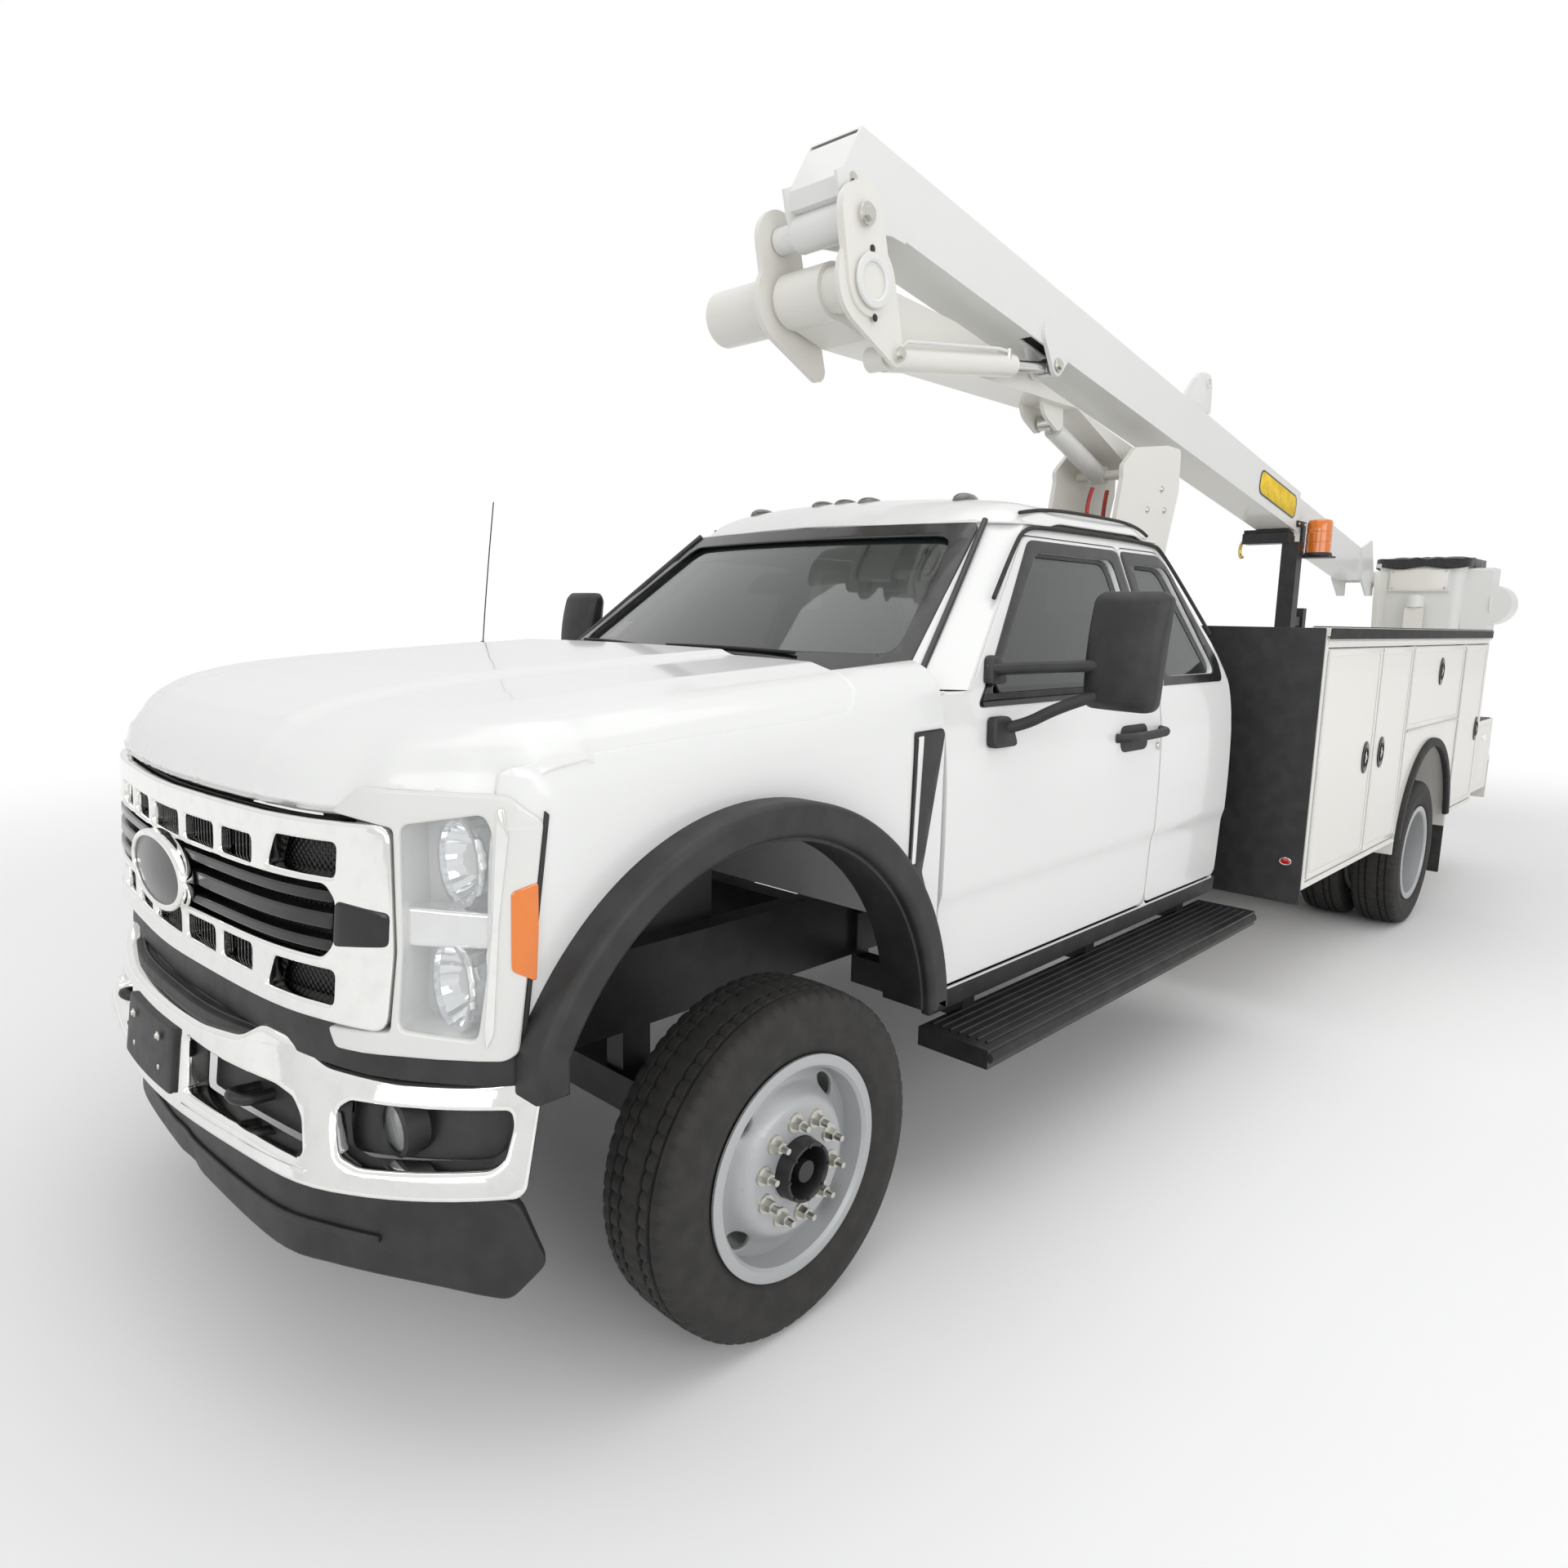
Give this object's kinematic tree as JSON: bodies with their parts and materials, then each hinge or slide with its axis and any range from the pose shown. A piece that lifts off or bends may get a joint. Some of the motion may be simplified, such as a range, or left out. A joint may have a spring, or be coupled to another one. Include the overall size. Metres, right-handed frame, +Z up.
{
  "type": "cherry picker truck",
  "caption": "White cab truck with a service body and an articulated, telescopic boom that carries a covered work bucket at the rear.",
  "frame": {"origin": "on the ground, at the middle of the length and width", "axes": "+X forwards, +Y to the left (driver) side, +Z up"},
  "size_m": [9.517, 2.72, 3.2383],
  "materials": {
    "white_paint": "gloss",
    "body_paint": "gloss",
    "boom_white": "gloss",
    "black_frame": "satin",
    "silver_paint": "satin",
    "engine_grey": "matte",
    "chrome": "polished",
    "rod_chrome": "polished",
    "glass": "clear",
    "tyre": "matte",
    "black_plastic": "matte",
    "lamp_plastic": "clear",
    "amber": "clear",
    "interior": "matte",
    "vinyl": "matte"
  },
  "bodies": {
    "chassis": {"air_dam": "black_plastic", "boom_rest": "black_frame", "cab_glass": "glass", "cab_interior": "interior", "cab_shell": "white_paint", "engine_block": "engine_grey", "fenders": "white_paint", "flares_and_flaps": "black_plastic", "frame_rails": "black_frame", "front_axle": "black_frame", "front_bumper": "chrome", "grille": "chrome", "lamps": "lamp_plastic", "pedestal": "body_paint", "rear_axle": "black_frame", "running_boards": "black_frame", "service_body": "body_paint", "tail_shelf": "body_paint"},
    "hood_lid": {"hood": "white_paint"},
    "door_left": {"door_left": "white_paint", "door_glass_left": "glass", "mirror_left": "black_plastic"},
    "rear_door_left": {"rear_door_left": "white_paint", "rear_door_glass_left": "glass"},
    "steer_left": {"steer_knuckle_left": "black_frame"},
    "front_wheel_left": {"front_tyre_left": "tyre", "front_rim_left": "silver_paint"},
    "rear_wheels_left": {"rear_tyres_left": "tyre", "rear_rims_left": "silver_paint"},
    "body_door_a_left": {"body_door_a_left": "body_paint"},
    "body_door_b_left": {"body_door_b_left": "body_paint"},
    "body_door_d_left": {"body_door_d_left": "body_paint"},
    "body_door_c_left": {"body_door_c_left": "body_paint"},
    "door_right": {"door_right": "white_paint", "door_glass_right": "glass", "mirror_right": "black_plastic"},
    "rear_door_right": {"rear_door_right": "white_paint", "rear_door_glass_right": "glass"},
    "steer_right": {"steer_knuckle_right": "black_frame"},
    "front_wheel_right": {"front_tyre_right": "tyre", "front_rim_right": "silver_paint"},
    "rear_wheels_right": {"rear_tyres_right": "tyre", "rear_rims_right": "silver_paint"},
    "body_door_a_right": {"body_door_a_right": "body_paint"},
    "body_door_b_right": {"body_door_b_right": "body_paint"},
    "body_door_d_right": {"body_door_d_right": "body_paint"},
    "body_door_c_right": {"body_door_c_right": "body_paint"},
    "turret": {"turret": "body_paint"},
    "lower_boom": {"lower_boom": "body_paint"},
    "elbow_knuckle": {"elbow_knuckle": "body_paint"},
    "upper_boom": {"upper_boom": "boom_white", "tilt_lug": "boom_white", "beacon": "amber"},
    "fly_boom": {"fly_boom": "boom_white"},
    "bucket_mount": {"bucket_mount": "body_paint"},
    "bucket": {"bucket": "boom_white", "bucket_cover": "vinyl"},
    "lift_barrel": {"lift_barrel": "black_frame"},
    "lift_rod": {"lift_rod": "rod_chrome"},
    "tilt_barrel": {"tilt_barrel": "body_paint"},
    "tilt_rod": {"tilt_rod": "rod_chrome"}
  },
  "joints": [
    {"name": "hood_hinge", "type": "hinge", "parent": "chassis", "child": "hood_lid", "pos_m": [3.4465, 0, 1.478], "axis": [0, -1, 0], "range_deg": [0, 45]},
    {"name": "door_left_hinge", "type": "hinge", "parent": "chassis", "child": "door_left", "pos_m": [3.1345, 0.991, 1.1], "axis": [0, 0, -1], "range_deg": [0, 60]},
    {"name": "rear_door_left_hinge", "type": "hinge", "parent": "chassis", "child": "rear_door_left", "pos_m": [1.1805, 0.991, 1.1], "axis": [0, 0, 1], "range_deg": [0, 75]},
    {"name": "steer_left_pin", "type": "hinge", "parent": "chassis", "child": "steer_left", "pos_m": [3.7465, 0.8, 0.405], "axis": [0, 0, 1], "range_deg": [-30, 30]},
    {"name": "front_wheel_left_spin", "type": "hinge", "parent": "steer_left", "child": "front_wheel_left", "pos_m": [3.7465, 0.95, 0.405], "axis": [0, 1, 0], "continuous": true},
    {"name": "rear_wheels_left_spin", "type": "hinge", "parent": "chassis", "child": "rear_wheels_left", "pos_m": [-1.1305, 0.94, 0.405], "axis": [0, 1, 0], "continuous": true},
    {"name": "body_door_a_left_hinge", "type": "hinge", "parent": "chassis", "child": "body_door_a_left", "pos_m": [0.8225, 1.208, 1.07], "axis": [0, 0, -1], "range_deg": [0, 100]},
    {"name": "body_door_b_left_hinge", "type": "hinge", "parent": "chassis", "child": "body_door_b_left", "pos_m": [-0.5385, 1.208, 1.07], "axis": [0, 0, -1], "range_deg": [-100, 0]},
    {"name": "body_door_d_left_hinge", "type": "hinge", "parent": "chassis", "child": "body_door_d_left", "pos_m": [-1.7135, 1.208, 1.07], "axis": [0, 0, 1], "range_deg": [-100, 0]},
    {"name": "body_door_c_left_hinge", "type": "hinge", "parent": "chassis", "child": "body_door_c_left", "pos_m": [-1.1305, 1.208, 1.12], "axis": [-1, 0, 0], "range_deg": [0, 95]},
    {"name": "door_right_hinge", "type": "hinge", "parent": "chassis", "child": "door_right", "pos_m": [3.1345, -0.991, 1.1], "axis": [0, 0, 1], "range_deg": [0, 60]},
    {"name": "rear_door_right_hinge", "type": "hinge", "parent": "chassis", "child": "rear_door_right", "pos_m": [1.1805, -0.991, 1.1], "axis": [0, 0, -1], "range_deg": [0, 75]},
    {"name": "steer_right_pin", "type": "hinge", "parent": "chassis", "child": "steer_right", "pos_m": [3.7465, -0.8, 0.405], "axis": [0, 0, 1], "range_deg": [-30, 30]},
    {"name": "front_wheel_right_spin", "type": "hinge", "parent": "steer_right", "child": "front_wheel_right", "pos_m": [3.7465, -0.95, 0.405], "axis": [0, 1, 0], "continuous": true},
    {"name": "rear_wheels_right_spin", "type": "hinge", "parent": "chassis", "child": "rear_wheels_right", "pos_m": [-1.1305, -0.94, 0.405], "axis": [0, 1, 0], "continuous": true},
    {"name": "body_door_a_right_hinge", "type": "hinge", "parent": "chassis", "child": "body_door_a_right", "pos_m": [0.8225, -1.208, 1.07], "axis": [0, 0, 1], "range_deg": [0, 100]},
    {"name": "body_door_b_right_hinge", "type": "hinge", "parent": "chassis", "child": "body_door_b_right", "pos_m": [-0.5385, -1.208, 1.07], "axis": [0, 0, 1], "range_deg": [-100, 0]},
    {"name": "body_door_d_right_hinge", "type": "hinge", "parent": "chassis", "child": "body_door_d_right", "pos_m": [-1.7135, -1.208, 1.07], "axis": [0, 0, -1], "range_deg": [-100, 0]},
    {"name": "body_door_c_right_hinge", "type": "hinge", "parent": "chassis", "child": "body_door_c_right", "pos_m": [-1.1305, -1.208, 1.12], "axis": [1, 0, 0], "range_deg": [0, 95]},
    {"name": "turret_slew", "type": "hinge", "parent": "chassis", "child": "turret", "pos_m": [0.3865, 0, 1.78], "axis": [0, 0, 1], "continuous": true},
    {"name": "lower_boom_lift", "type": "hinge", "parent": "turret", "child": "lower_boom", "pos_m": [0.0465, 0, 2.45], "axis": [0, -1, 0], "range_deg": [0, 75]},
    {"name": "elbow_level", "type": "hinge", "parent": "lower_boom", "child": "elbow_knuckle", "pos_m": [2.5195, 0, 2.748], "axis": [0, 1, 0], "range_deg": [0, 75]},
    {"name": "upper_boom_lift", "type": "hinge", "parent": "elbow_knuckle", "child": "upper_boom", "pos_m": [2.5655, 0, 2.942], "axis": [0, 1, 0], "range_deg": [0, 80]},
    {"name": "fly_boom_slide", "type": "slide", "parent": "upper_boom", "child": "fly_boom", "axis": [-0.9873, 0, -0.159], "range_m": [0, 1.2]},
    {"name": "bucket_level", "type": "hinge", "parent": "fly_boom", "child": "bucket_mount", "pos_m": [-3.9185, 0, 2.02], "axis": [0, -1, 0], "range_deg": [0, 80]},
    {"name": "bucket_turn", "type": "hinge", "parent": "bucket_mount", "child": "bucket", "pos_m": [-4.0535, 0.385, 1.56], "axis": [0, 0, 1], "range_deg": [-90, 0]},
    {"name": "lift_barrel_pin", "type": "hinge", "parent": "turret", "child": "lift_barrel", "pos_m": [0.3505, -0.096, 2.373], "axis": [0, -1, 0], "range_deg": [0, 87.18]},
    {"name": "lift_rod_slide", "type": "slide", "parent": "lift_barrel", "child": "lift_rod", "axis": [0.9474, 0, 0.3199], "range_m": [0, 0.355]},
    {"name": "tilt_barrel_pin", "type": "hinge", "parent": "elbow_knuckle", "child": "tilt_barrel", "pos_m": [2.3505, 0.076, 2.547], "axis": [0, 1, 0], "range_deg": [0, 76.53]},
    {"name": "tilt_rod_slide", "type": "slide", "parent": "tilt_barrel", "child": "tilt_rod", "axis": [-0.9888, 0, 0.149], "range_m": [0, 0.5598]}
  ],
  "couplings": [
    {"joint": "steer_right_pin", "follows": "steer_left_pin", "ratio": 1},
    {"joint": "elbow_level", "follows": "lower_boom_lift", "ratio": 1},
    {"joint": "bucket_level", "follows": "upper_boom_lift", "ratio": 1},
    {"joint": "lift_barrel_pin", "follows": "lower_boom_lift", "ratio": 1.1491},
    {"joint": "lift_rod_slide", "follows": "lower_boom_lift", "m_per_rad": 0.2674},
    {"joint": "tilt_barrel_pin", "follows": "upper_boom_lift", "ratio": 0.9441},
    {"joint": "tilt_rod_slide", "follows": "upper_boom_lift", "m_per_rad": 0.39734}
  ]
}
